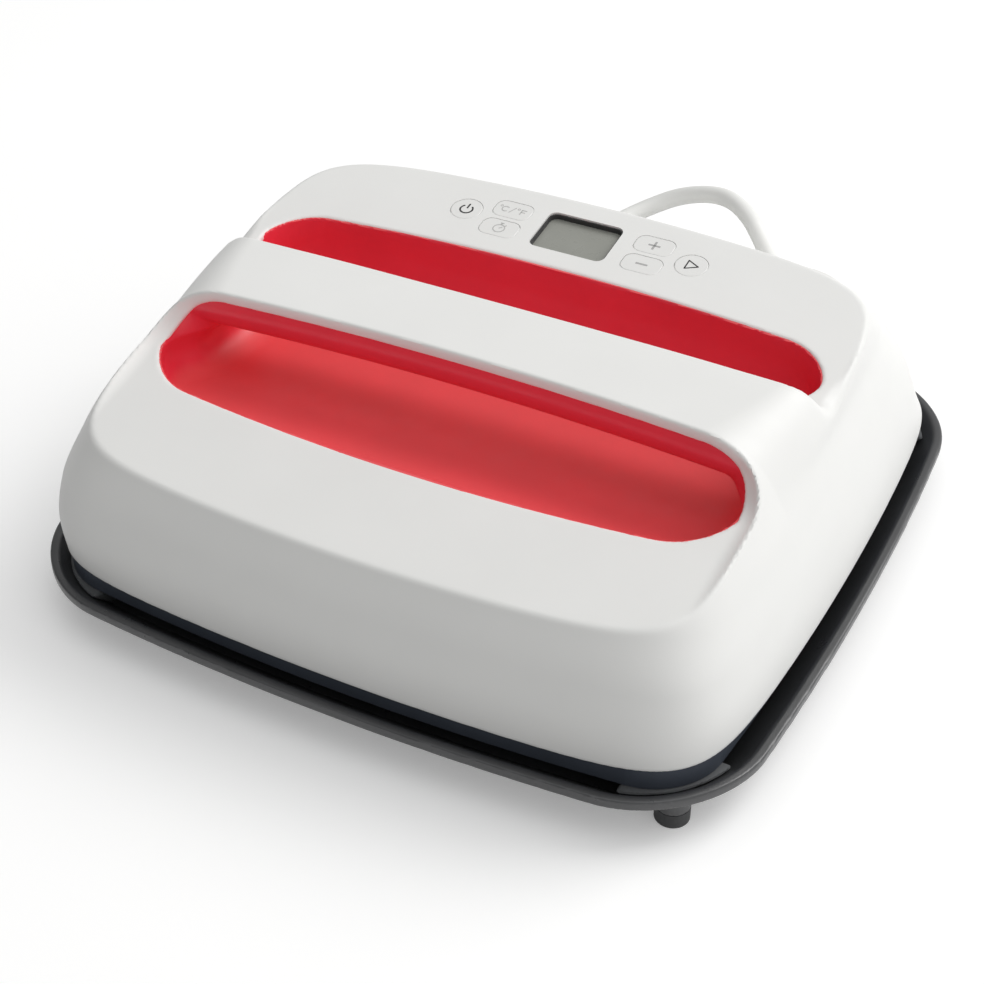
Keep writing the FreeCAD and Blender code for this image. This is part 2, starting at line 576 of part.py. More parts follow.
# ---------------------------------------------------------------- strain relief and clamp of the lead
ld = S("lead_dia")
rl = S("relief_len")
prof = [V(0, 0, -7), V(8.0, 0, -7), V(8.0, 0, -3.2), V(5.4, 0, -3.2), V(5.4, 0, 1.4), V(7.2, 0, 1.9), V(7.2, 0, 3.4), V(4.6, 0, rl), V(0, 0, rl)]
rel = Part.Face(Part.makePolygon(prof + [prof[0]])).revolve(V(0, 0, 0), V(0, 0, 1), 360)
for k in range(4):
    zc = 6.5 + k * 3.6
    gr = Part.makeCylinder(9, 1.3, V(0, 0, zc)).cut(Part.makeCylinder(4.3, 1.3, V(0, 0, zc)))
    rel = rel.cut(gr)
rel = placed(rel, LPL)
housing_node = NODES[0]
rel = rel.cut(housing_node.Shape)
feature("lead_strain_relief", sorted(rel.Solids, key=lambda q: q.Volume)[-1])

# ---------------------------------------------------------------- base: tray, pads, feet
bh = S("base_half")
rl0, rl1, rw = S("rim_low"), S("rim_top"), S("rim_wide")
rimp = prism(rl0, rl1, bh, -bh, bh, 8, 11, 11, 28)
pan = loft([(S("pan_low"), 117, -117, 117, 6, 8, 8, 38), (rl0, 129, -129, 129, 7.6, 10.4, 10.4, 29)], ruled=True)
cav = loft([(S("pan_floor"), 115.5, -115.5, 115.5, 6, 8, 8, 37), (rl1, bh - rw, -bh + rw, bh - rw, 7.6, 10.4, 10.4, 26)], ruled=True)
tray = rimp.fuse(pan)
fp, fd, fh = S("foot_pitch"), S("foot_dia"), S("foot_high")
FEET = [(fp * sx, fp * sy) for sx in (-1, 1) for sy in (-1, 1)]
for x, y in FEET:
    tray = tray.fuse(Part.makeCylinder(fd / 2, rl0 - fh, V(x, y, fh)))
tray = tray.cut(cav)
for x, y in FEET:
    tray = tray.cut(Part.makeCylinder(fd / 2 + 0.2, fh, V(x, y, 0)))
for x, y in FEET:
    tray = tray.fuse(Part.makeCylinder(fd / 2, 13.4 - fh, V(x, y, fh)))
    tray = tray.cut(Part.makeCylinder(1.55, 7.5, V(x, y, fh - 0.5)))
feature("base_tray", tray.removeSplitter())
cavi = loft([(S("pan_floor"), 115.3, -115.3, 115.3, 6, 8, 8, 37), (rl1, bh - rw - 0.2, -bh + rw + 0.2, bh - rw - 0.2, 7.6, 10.4, 10.4, 26)], ruled=True)
pads = []
pp, ps, ph = S("pad_pitch"), S("pad_size"), S("pad_high")
zpf = S("pan_floor")
for sx in (-1, 1):
    for sy in (-1, 1):
        cx_, cy_ = sx * (pp - 8), sy * (pp - 8)
        b = rounded(ps, ps, 5, ph)
        b.translate(V(cx_, cy_, zpf))
        b = b.common(cavi)
        for x, y in FEET:
            b = b.cut(Part.makeCylinder(fd / 2 + 0.2, 20, V(x, y, 0)))
        q = sorted(b.Solids, key=lambda q_: q_.Volume)[-1]
        o = doc.addObject("Part::Feature", "corner_pad")
        o.Shape = q
        pads.append(o)
group("corner_pads", pads)
feet = []
fs = []
for i, (x, y) in enumerate(FEET):
    a = tool("Part::Cylinder", "foot%d_puck" % i, {"Radius": "Sizes.foot_dia / 2", "Height": "Sizes.foot_high"}, at(x, y, 0))
    b = tool("Part::Cylinder", "foot%d_well" % i, None, at(x, y, -1), Radius=3.1, Height=3.6)
    c = tool("Part::Cylinder", "foot%d_bore" % i, None, at(x, y, 0), Radius=1.6, Height=8)
    d = tool("Part::Fuse", "foot%d_tool" % i, Base=b, Tool=c)
    feet.append(tool("Part::Cut", "foot%d" % i, Base=a, Tool=d))
    fs.append(screw("foot_screw%d" % i, x, y, 2.6, 9.0, 1.5, 2.8, 1.6, up=False))
group("tray_feet", feet)
group("foot_screws", fs)

# ---------------------------------------------------------------- lead: tube, put-away hank, plug
# control points of the lead from the strain relief to the hank
tip = LPL.multVec(V(0, 0, rl))
ROUTE = [
    (tip.x, tip.y, tip.z), (-28.0, 143.3, 42.4), (-18.0, 154.6, 46.9), (-4.5, 159.3, 53.8), (13.4, 156.1, 59.7), (28.0, 144.6, 60.6), (38.0, 135.8, 55.1),
    (46.4, 131.1, 44.8), (53.4, 131.8, 34.8), (59.5, 137.6, 26.0), (63.9, 147.5, 20.3), (65.7, 159.4, 18.3), (63.5, 171.1, 18.3),
]


def arc_tube(points, dia, first_end=0.0):
    """Straight runs joined by tangent arcs, swept with a round section."""
    P = [V(*p) for p in points]
    edges = []
    length = 0.0
    last = P[0]
    for i in range(1, len(P) - 1):
        a, b, c = P[i - 1], P[i], P[i + 1]
        u = a.sub(b)
        v = c.sub(b)
        lu, lv = u.Length, v.Length
        u.normalize()
        v.normalize()
        turn = math.pi - u.getAngle(v)
        cut = 0.45 * min(lu, lv)
        rad = cut / math.tan(turn / 2)
        s_ = b.add(u.multiply(cut))
        e_ = b.add(v.multiply(cut))
        u2 = s_.sub(b)
        v2 = e_.sub(b)
        bis = u2.add(v2)
        bis.normalize()
        dist = rad / math.cos(turn / 2) - rad
        m = b.add(bis.multiply(dist))
        print("lead arc %d: turn %.1f deg, radius %.1f mm, runs %.1f %.1f" % (i, math.degrees(turn), rad, lu, lv))
        edges.append(Part.LineSegment(last, s_).toShape())
        edges.append(Part.Arc(s_, m, e_).toShape())
        length += (s_.sub(last)).Length + rad * turn
        last = e_
    edges.append(Part.LineSegment(last, P[-1]).toShape())
    length += (P[-1].sub(last)).Length
    wire = Part.Wire(edges)
    d = P[1].sub(P[0])
    d.normalize()
    circle = Part.Wire([Part.makeCircle(dia / 2.0, P[0], d)])
    tube = wire.makePipeShell([circle], True, True)
    if tube.Volume < 0:
        tube.reverse()
    want = math.pi * dia * dia / 4 * length
    print("lead tube length %.1f mm, volume ratio %.4f" % (length, tube.Volume / want))
    return tube, length


tube, tube_len = arc_tube(ROUTE, ld)
feature("lead_tube", tube)

# hank: a flat race-track ring of turns lying on the surface behind the press
HX0, HX1, HY = -64.0, 36.0, 166.0
hr_out, hr_in, hh = 31.5, 17.5, 14.0


def track(r, z0, z1):
    a = Part.makeCylinder(r, z1 - z0, V(HX0, HY, z0))
    b = Part.makeCylinder(r, z1 - z0, V(HX1, HY, z0))
    c = Part.makeBox(HX1 - HX0, 2 * r, z1 - z0, V(HX0, HY - r, z0))
    return a.fuse(b).fuse(c)


hank = track(hr_out, 0, hh).cut(track(hr_in, -1, hh + 1))
feature("lead_hank", sorted(hank.removeSplitter().Solids, key=lambda q: q.Volume)[-1])

pL, pW, pH = S("plug_long"), S("plug_wide"), S("plug_high")
plug = Part.makeBox(pL, pW, pH, V(0, -pW / 2, 0))
es = [e for e in plug.Edges if abs(e.Vertexes[0].X - e.Vertexes[-1].X) > pL * 0.9]
plug = plug.makeFillet(5.0, es)
neck = Part.makeCone(7.5, 5.0, 20, V(pL, 0, pH / 2), V(1, 0, 0))
plug = plug.fuse(neck)
pins = [Part.makeBox(17.5, 1.5, 6.35, V(-17.5, -7.1, 9.6)), Part.makeBox(17.5, 1.5, 6.35, V(-17.5, 5.6, 9.6)), Part.makeCylinder(2.4, 20, V(0, 0, 4.6), V(-1, 0, 0))]
PLUG = Placement(V(-61, HY, 0), Rotation(V(0, 0, 1), 0))
feature("plug_body", placed(plug.removeSplitter(), PLUG))
feature("plug_pins", Part.makeCompound([placed(p, PLUG) for p in pins]))

# ---------------------------------------------------------------- checks and files
doc.recompute()
bad = []
for o in doc.Objects:
    if any(s_ in ("Invalid", "Error") for s_ in o.State):
        bad.append("%s %s" % (o.Label, o.State))
labels = set()
for o in NODES:
    sh_ = o.Shape
    if sh_.isNull() or not sh_.isValid():
        bad.append("shape " + o.Label)
    elif sh_.Volume <= 0 or not sh_.Solids:
        bad.append("volume " + o.Label)
    if o.Label in labels:
        bad.append("label " + o.Label)
    labels.add(o.Label)
if bad:
    print("NOT WRITTEN:", bad)
    sys.exit(1)
for o in NODES:
    o.Shape.exportStep("parts/%s.step" % o.Label)
    bb = o.Shape.BoundBox
    print("%-22s solids %2d vol %10.1f  x %7.1f %7.1f  y %7.1f %7.1f  z %6.1f %6.1f" % (
        o.Label, len(o.Shape.Solids), o.Shape.Volume, bb.XMin, bb.XMax, bb.YMin, bb.YMax, bb.ZMin, bb.ZMax))
print("nodes", len(NODES), "lead tube", round(tube_len, 1))
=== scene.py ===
import math
import bpy, bmesh
import numpy as np
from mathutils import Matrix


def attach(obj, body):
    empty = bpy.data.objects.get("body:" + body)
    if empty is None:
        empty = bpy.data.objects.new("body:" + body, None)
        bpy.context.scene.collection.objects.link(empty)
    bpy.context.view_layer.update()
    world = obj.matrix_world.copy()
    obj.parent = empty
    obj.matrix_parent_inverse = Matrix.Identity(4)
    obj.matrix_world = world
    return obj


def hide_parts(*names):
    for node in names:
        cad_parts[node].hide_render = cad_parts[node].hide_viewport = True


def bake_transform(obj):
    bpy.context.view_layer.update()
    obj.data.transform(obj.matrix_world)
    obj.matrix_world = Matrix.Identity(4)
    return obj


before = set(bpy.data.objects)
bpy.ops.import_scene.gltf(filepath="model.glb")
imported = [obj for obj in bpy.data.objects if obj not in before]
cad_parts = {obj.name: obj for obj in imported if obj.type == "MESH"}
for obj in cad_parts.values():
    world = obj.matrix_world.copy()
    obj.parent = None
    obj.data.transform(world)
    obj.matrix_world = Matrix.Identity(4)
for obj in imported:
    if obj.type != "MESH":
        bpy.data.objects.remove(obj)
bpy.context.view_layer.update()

import openvdb
from mathutils import Vector, Matrix

MM = 0.001
COL = bpy.context.scene.collection


# ------------------------------------------------------------------ camera, light, floor
cam_data = bpy.data.cameras.new("cam")
cam_data.lens = 67.66
cam_data.sensor_width = 36.0
cam = bpy.data.objects.new("cam", cam_data)
cam.location = (0.2379, -0.4717, 0.4097)
cam.rotation_euler = (math.radians(52.929), 0.0, math.radians(27.649))
cam_data.clip_start = 0.01
COL.objects.link(cam)
bpy.context.scene.camera = cam
bpy.context.scene.view_settings.view_transform = "Standard"

world = bpy.data.worlds.new("studio")
bpy.context.scene.world = world
world.use_nodes = True
wt = world.node_tree
bg = wt.nodes["Background"]
bg.inputs["Strength"].default_value = 1.0
wc = wt.nodes.new("ShaderNodeTexCoord")
# a broad pale studio: brighter towards the right, the back and above
wd = wt.nodes.new("ShaderNodeVectorMath")
wd.operation = "DOT_PRODUCT"
wd.inputs[1].default_value = (0.38, 0.13, 0.09)
wa = wt.nodes.new("ShaderNodeMath")
wa.operation = "ADD"
wa.use_clamp = False
wa.inputs[1].default_value = 0.53
wt.links.new(wc.outputs["Generated"], wd.inputs[0])
wt.links.new(wd.outputs["Value"], wa.inputs[0])
wt.links.new(wa.outputs["Value"], bg.inputs["Strength"])
bg.inputs["Color"].default_value = (1.0, 1.0, 0.995, 1)


def area(name, place, aim, size, power, color=(1, 1, 1)):
    d = bpy.data.lights.new(name, "AREA")
    d.shape = "RECTANGLE"
    d.size, d.size_y = size
    d.energy = power
    d.color = color
    o = bpy.data.objects.new(name, d)
    o.location = place
    o.rotation_euler = (Vector(aim) - Vector(place)).to_track_quat("-Z", "Y").to_euler()
    COL.objects.link(o)
    return o


area("key", (0.85, 1.00, 1.45), (0, 0, 0.05), (1.1, 0.9), 15.0, (1.0, 0.995, 0.985))
area("fill", (0.2, -0.3, 2.1), (0, 0, 0.05), (1.4, 1.4), 3.5, (0.97, 0.985, 1.0))


# ------------------------------------------------------------------ materials
def mat(name, col, rough=0.45, var=0.04, scale=45.0, rvar=0.06, bump=0.10, bscale=1400.0, bdist=0.00004, metal=0.0, coat=0.0,
        weave=0.0, streak=0.0, sheen=0.0, sub=0.0, spec=0.5):
    m = bpy.data.materials.new(name)
    m.use_nodes = True
    t = m.node_tree
    b = t.nodes["Principled BSDF"]
    b.inputs["Metallic"].default_value = metal
    b.inputs["Specular IOR Level"].default_value = spec
    b.inputs["Coat Weight"].default_value = coat
    b.inputs["Coat Roughness"].default_value = 0.2
    if sheen:
        b.inputs["Sheen Weight"].default_value = sheen
    if sub:
        b.inputs["Subsurface Weight"].default_value = sub
        b.inputs["Subsurface Radius"].default_value = (0.004, 0.003, 0.003)
    tc = t.nodes.new("ShaderNodeTexCoord")
    src = tc.outputs["Object"]
    if streak:
        mp = t.nodes.new("ShaderNodeMapping")
        mp.inputs["Scale"].default_value = (1.0, streak, 1.0)
        t.links.new(src, mp.inputs["Vector"])
        src = mp.outputs["Vector"]
    n1 = t.nodes.new("ShaderNodeTexNoise")
    n1.inputs["Scale"].default_value = scale
    n1.inputs["Detail"].default_value = 5.0
    t.links.new(src, n1.inputs["Vector"])
    r1 = t.nodes.new("ShaderNodeValToRGB")
    lo = [max(0.0, c * (1 - var)) for c in col]
    hi = [min(1.0, c * (1 + var)) for c in col]
    r1.color_ramp.elements[0].position = 0.3
    r1.color_ramp.elements[1].position = 0.7
    r1.color_ramp.elements[0].color = (*lo, 1)
    r1.color_ramp.elements[1].color = (*hi, 1)
    t.links.new(n1.outputs["Fac"], r1.inputs["Fac"])
    t.links.new(r1.outputs["Color"], b.inputs["Base Color"])
    n2 = t.nodes.new("ShaderNodeTexNoise")
    n2.inputs["Scale"].default_value = scale * 3.1
    n2.inputs["Detail"].default_value = 4.0
    t.links.new(src, n2.inputs["Vector"])
    mr = t.nodes.new("ShaderNodeMapRange")
    mr.inputs["From Min"].default_value = 0.3
    mr.inputs["From Max"].default_value = 0.7
    mr.inputs["To Min"].default_value = max(0.02, rough - rvar)
    mr.inputs["To Max"].default_value = min(1.0, rough + rvar)
    t.links.new(n2.outputs["Fac"], mr.inputs["Value"])
    t.links.new(mr.outputs["Result"], b.inputs["Roughness"])
    if weave:
        w1 = t.nodes.new("ShaderNodeTexWave")
        w1.inputs["Scale"].default_value = weave
        w1.bands_direction = "X"
        w2 = t.nodes.new("ShaderNodeTexWave")
        w2.inputs["Scale"].default_value = weave
        w2.bands_direction = "Y"
        w1.inputs["Distortion"].default_value = 1.0
        w2.inputs["Distortion"].default_value = 1.0
        t.links.new(src, w1.inputs["Vector"])
        t.links.new(src, w2.inputs["Vector"])
        mx = t.nodes.new("ShaderNodeMath")
        mx.operation = "MAXIMUM"
        t.links.new(w1.outputs["Fac"], mx.inputs[0])
        t.links.new(w2.outputs["Fac"], mx.inputs[1])
        height = mx.outputs["Value"]
    else:
        n3 = t.nodes.new("ShaderNodeTexNoise")
        n3.inputs["Scale"].default_value = bscale
        n3.inputs["Detail"].default_value = 3.0
        t.links.new(src, n3.inputs["Vector"])
        height = n3.outputs["Fac"]
    bp = t.nodes.new("ShaderNodeBump")
    bp.inputs["Strength"].default_value = bump
    bp.inputs["Distance"].default_value = bdist
    t.links.new(height, bp.inputs["Height"])
    t.links.new(bp.outputs["Normal"], b.inputs["Normal"])
    return m


M = {
    "shell_white": mat("shell_white", (0.86, 0.86, 0.845), 0.42, 0.012, 30, 0.05, 0.12, 1500, 0.00004, spec=0.45),
    "key_white": mat("key_white", (0.84, 0.84, 0.825), 0.38, 0.012, 60, 0.05, 0.08, 1800, 0.00003),
    "liner_red": mat("liner_red", (0.88, 0.040, 0.074), 0.38, 0.04, 35, 0.05, 0.14, 1300, 0.00005, spec=0.6),
    "skirt_grey": mat("skirt_grey", (0.055, 0.065, 0.085), 0.48, 0.08, 60, 0.07, 0.3, 1200, 0.00007),
    "plate_coated": mat("plate_coated", (0.12, 0.12, 0.125), 0.42, 0.08, 90, 0.08, 0.4, 2200, 0.00006, metal=0.4),
    "element_foil": mat("element_foil", (0.72, 0.72, 0.73), 0.28, 0.05, 120, 0.08, 0.5, 500, 0.00020, metal=1.0),
    "felt": mat("felt", (0.83, 0.81, 0.74), 0.95, 0.10, 240, 0.04, 0.9, 1500, 0.00035, sheen=0.4),
    "shield_sheet": mat("shield_sheet", (0.74, 0.74, 0.75), 0.33, 0.04, 50, 0.08, 0.3, 900, 0.00004, metal=1.0, streak=18.0),
    "ceramic_white": mat("ceramic_white", (0.88, 0.87, 0.83), 0.62, 0.03, 150, 0.06, 0.3, 2200, 0.00005),
    "steel_screw": mat("steel_screw", (0.60, 0.60, 0.62), 0.30, 0.06, 400, 0.08, 0.3, 2600, 0.00003, metal=1.0),
    "board_green": mat("board_green", (0.03, 0.19, 0.07), 0.38, 0.14, 160, 0.08, 0.3, 700, 0.00006, coat=0.3),
    "nylon": mat("nylon", (0.86, 0.85, 0.79), 0.48, 0.03, 120, 0.06, 0.2, 1500, 0.00005),
    "sink_alu": mat("sink_alu", (0.52, 0.53, 0.55), 0.36, 0.05, 90, 0.07, 0.3, 1400, 0.00005, metal=1.0, streak=20.0),
    "black_resin": mat("black_resin", (0.022, 0.022, 0.023), 0.45, 0.2, 200, 0.08, 0.3, 1800, 0.00005),
    "terminal_grey": mat("terminal_grey", (0.36, 0.38, 0.41), 0.5, 0.06, 200, 0.06, 0.3, 1600, 0.00005),
    "brass": mat("brass", (0.78, 0.60, 0.30), 0.28, 0.05, 300, 0.07, 0.3, 2000, 0.00003, metal=1.0),
    "lens_smoke": mat("lens_smoke", (0.31, 0.315, 0.285), 0.30, 0.03, 80, 0.05, 0.06, 900, 0.00003, coat=0.15),
    "lcd_grey": mat("lcd_grey", (0.30, 0.31, 0.28), 0.45, 0.03, 200, 0.05, 0.1, 1800, 0.00003),
    "lead_white": mat("lead_white", (0.88, 0.88, 0.86), 0.46, 0.02, 90, 0.06, 0.25, 1500, 0.00006),
    "tray_dark": mat("tray_dark", (0.042, 0.043, 0.046), 0.33, 0.12, 55, 0.06, 0.22, 1100, 0.00006, spec=0.8),
    "pad_grey": mat("pad_grey", (0.10, 0.105, 0.11), 0.75, 0.10, 120, 0.06, 0.4, 1200, 0.0001),
    "foot_rubber": mat("foot_rubber", (0.045, 0.046, 0.048), 0.7, 0.12, 240, 0.08, 0.4, 1900, 0.0001),
    "strap": mat("strap", (0.03, 0.03, 0.032), 0.85, 0.2, 300, 0.08, 0.8, 1500, 0.0002, weave=320.0, sheen=0.3),
    "bezel_dark": mat("bezel_dark", (0.035, 0.035, 0.036), 0.5, 0.15, 300, 0.06, 0.3, 1800, 0.00004),
    "print_black": mat("print_black", (0.028, 0.028, 0.029), 0.5, 0.1, 900, 0.06, 0.1, 3000, 0.00001),
    "print_grey": mat("print_grey", (0.44, 0.44, 0.435), 0.5, 0.06, 900, 0.06, 0.1, 3000, 0.00001),
    "print_pale": mat("print_pale", (0.52, 0.52, 0.51), 0.5, 0.06, 900, 0.06, 0.1, 3000, 0.00001),
}

def tub_floor_painted_light(m):
    """Painted light: faces turned upward (the tub floor) are screened paler, a painted wash of light that makes the
    floor read paler and less saturated than its walls.
    """
    t = m.node_tree
    b = t.nodes["Principled BSDF"]
    old = b.inputs["Base Color"].links[0].from_socket
    ge = t.nodes.new("ShaderNodeNewGeometry")
    se = t.nodes.new("ShaderNodeSeparateXYZ")
    mr = t.nodes.new("ShaderNodeMapRange")
    mr.interpolation_type = "SMOOTHSTEP"
    mr.inputs["From Min"].default_value = 0.55
    mr.inputs["From Max"].default_value = 0.97
    mx = t.nodes.new("ShaderNodeMix")
    mx.data_type = "RGBA"
    mx.blend_type = "SCREEN"
    # painted light: this tint is screened onto the up-facing faces to paint the washed-out light on the tub floor
    mx.inputs["B"].default_value = (0.0, 0.062, 0.040, 1)
    t.links.new(ge.outputs["Normal"], se.inputs["Vector"])
    t.links.new(se.outputs["Z"], mr.inputs["Value"])
    t.links.new(mr.outputs["Result"], mx.inputs["Factor"])
    t.links.new(old, mx.inputs["A"])
    t.links.new(mx.outputs["Result"], b.inputs["Base Color"])


# paints a wash of light onto the upward faces of the red tub
tub_floor_painted_light(M["liner_red"])

NODE_LOOK = {
    "upper_housing": "shell_white", "grip_liner": "liner_red", "handle_cover": "liner_red", "lower_skirt": "skirt_grey",
    "heat_plate": "plate_coated", "heating_element": "element_foil", "insulation_blanket": "felt", "heat_shield": "shield_sheet",
    "plate_spacers": "ceramic_white", "plate_screws": "steel_screw", "case_screws": "steel_screw", "temperature_sensor": "ceramic_white",
    "thermal_fuse": "brass", "power_board": "board_green", "board_standoffs": "nylon", "heat_sink": "sink_alu", "power_triac": "black_resin",
    "terminal_block": "terminal_grey", "supply_transformer": "black_resin", "filter_capacitor": "black_resin", "earth_tab": "brass",
    "control_board": "board_green", "board_screws": "steel_screw", "display_lens": "lens_smoke", "display_module": "lcd_grey",
    "tactile_switches": "black_resin", "key_power": "key_white", "key_go": "key_white", "key_units": "key_white", "key_timer": "key_white",
    "key_plus": "key_white", "key_minus": "key_white", "buzzer": "black_resin", "lead_strain_relief": "lead_white",
    "base_tray": "tray_dark", "corner_pads": "pad_grey", "tray_feet": "foot_rubber", "foot_screws": "steel_screw",
    "lead_tube": "lead_white", "lead_hank": "lead_white", "plug_body": "lead_white", "plug_pins": "brass",
}
for name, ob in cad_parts.items():
    look = M[NODE_LOOK.get(name, "black_resin")]
    if ob.material_slots:
        for s in ob.material_slots:
            s.material = look
    else:
        ob.data.materials.append(look)


def put(name, verts, faces, look, body, smooth=True, sharp=32.0):
    me = bpy.data.meshes.new(name)
    me.from_pydata([tuple(v) for v in verts], [], faces)
    me.update()
    if smooth:
        me.shade_smooth()
        me.set_sharp_from_angle(angle=math.radians(sharp))
    me.materials.append(look)
    o = bpy.data.objects.new(name, me)
    COL.objects.link(o)
    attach(o, body)
    return o


# ------------------------------------------------------------------ floor
fl = bpy.data.meshes.new("floor")
fl.from_pydata([(-6, -6, 0), (6, -6, 0), (6, 6, 0), (-6, 6, 0)], [], [(0, 1, 2, 3)])
floor_mat = mat("floor_paper", (0.90, 0.90, 0.90), 0.85, 0.004, 8, 0.04, 0.05, 600, 0.00005, spec=0.1)
fb = floor_mat.node_tree.nodes["Principled BSDF"]
fb.inputs["Emission Color"].default_value = (1, 1, 1, 1)
fb.inputs["Emission Strength"].default_value = 0.22
fl.materials.append(floor_mat)
floor = bpy.data.objects.new("floor", fl)
floor.location.z = -0.0002
COL.objects.link(floor)
floor.visible_diffuse = False


# ------------------------------------------------------------------ mains lead: one spline, the route and then the put-away turns
ROUTE = [
    (-31.505, 131.922, 39.987), (-28.0, 143.3, 42.4), (-18.0, 154.6, 46.9), (-4.5, 159.3, 53.8), (13.4, 156.1, 59.7), (28.0, 144.6, 60.6),
    (38.0, 135.8, 55.1), (46.4, 131.1, 44.8), (53.4, 131.8, 34.8), (59.5, 137.6, 25.4), (63.0, 147.5, 18.2), (64.2, 159.4, 15.4),
    (62.6, 171.1, 15.2),
]
X0, X1, YC = -64.0, 34.0, 165.6
RO, RI, ZT, ZB = 28.4, 21.5, 10.6, 3.6


def right(deg, r, z):
    a = math.radians(deg)
    return (X1 + r * math.cos(a), YC + r * math.sin(a), z)


def left(deg, r, z):
    a = math.radians(deg)
    return (X0 + r * math.cos(a), YC + r * math.sin(a), z)


TURNS = []
for d, z in ((30, 14.2), (46, 12.6), (60, 11.6), (75, ZT)):
    TURNS.append(right(d, RO, z))
for x in (12, -14, -40):
    TURNS.append((x, YC + RO, ZT))
TURNS += [left(d, RO, ZT) for d in range(100, 270, 20)]
for x in (-40, -14, 12):
    TURNS.append((x, YC - RO, ZT))
TURNS += [right(d, RO, z) for d, z in ((-80, ZT), (-60, 9.9), (-40, 7.8), (-20, 5.4), (0, 3.9), (20, ZB), (40, ZB), (60, ZB), (80, ZB))]
for x in (12, -14, -40):
    TURNS.append((x, YC + RO, ZB))
TURNS += [left(d, RO, ZB) for d in range(100, 270, 20)]
TURNS += [(-40, YC - RO, ZB), (-22, YC - RO, ZB), (-4, YC - 26.6, ZB), (12, YC - 22.8, ZB), (26, YC - RI, ZB)]
TURNS += [right(d, RI, ZB) for d in range(-70, 90, 20)]
for x in (26, 0, -27, -54):
    TURNS.append((x, YC + RI, ZB))
TURNS += [left(d, RI, ZB) for d in range(110, 270, 20)]
TURNS += [(-54, YC - RI, 5.2), (-38, YC - RI, 7.6), (-22, YC - RI, 10.6), (-6, YC - RI, ZT), (14, YC - RI, ZT), (30, YC - RI, ZT)]
TURNS += [right(d, RI, ZT) for d in range(-70, 80, 20)]
TURNS += [(34.0, 187.0, ZT), (22.0, 185.2, ZT), (11.0, 178.4, ZT), (3.0, 170.0, 11.4), (-5.5, 166.2, 11.0), (-15.0, 166.0, 11.0)]

cu = bpy.data.curves.new("lead_line", "CURVE")
cu.dimensions = "3D"
sp = cu.splines.new("NURBS")
pts = ROUTE + TURNS
sp.points.add(len(pts) - 1)
for p, q in zip(sp.points, pts):
    p.co = (q[0] * MM, q[1] * MM, q[2] * MM, 1.0)
sp.order_u = 3
sp.use_endpoint_u = True
sp.resolution_u = 10
line_ob = bpy.data.objects.new("lead_line", cu)
COL.objects.link(line_ob)
bpy.context.view_layer.update()
lm = bpy.data.meshes.new_from_object(line_ob)
PATH = np.array([v.co[:] for v in lm.vertices], float)
bpy.data.objects.remove(line_ob)
bpy.data.curves.remove(cu)
bpy.data.meshes.remove(lm)
keep = [0]
for i in range(1, len(PATH)):
    if np.linalg.norm(PATH[i] - PATH[keep[-1]]) > 0.0008:
        keep.append(i)
PATH = PATH[keep]
LEAD = float(np.linalg.norm(np.diff(PATH, axis=0), axis=1).sum())
print("LEAD LENGTH", round(LEAD, 4), "points", len(PATH))


def tube(name, path, rad, sides, look, body=None):
    tan = np.gradient(path, axis=0)
    tan /= np.linalg.norm(tan, axis=1)[:, None]
    n = np.cross(tan[0], (0, 0, 1.0))
    n /= np.linalg.norm(n)
    verts, faces = [], []
    for i, (p, t) in enumerate(zip(path, tan)):
        n = n - t * np.dot(n, t)
        n /= np.linalg.norm(n)
        b = np.cross(t, n)
        r = rad if np.isscalar(rad) else rad[i]
        for k in range(sides):
            a = 2 * math.pi * k / sides
            verts.append(tuple(p + r * (math.cos(a) * n + math.sin(a) * b)))
    for i in range(len(path) - 1):
        for k in range(sides):
            a, b2 = i * sides + k, i * sides + (k + 1) % sides
            faces.append((a, b2, b2 + sides, a + sides))
    c0, c1 = len(verts), len(verts) + 1
    verts += [tuple(path[0]), tuple(path[-1])]
    L = (len(path) - 1) * sides
    for k in range(sides):
        faces.append((c0, (k + 1) % sides, k))
        faces.append((c1, L + k, L + (k + 1) % sides))
    me = bpy.data.meshes.new(name)
    me.from_pydata(verts, [], faces)
    me.update()
    me.shade_smooth()
    me.materials.append(look)
    o = bpy.data.objects.new(name, me)
    COL.objects.link(o)
    if body:
        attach(o, body)
    return o


lead = tube("mains_lead", PATH, 0.0035, 14, M["lead_white"])
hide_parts("lead_tube", "lead_hank")
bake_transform(lead)


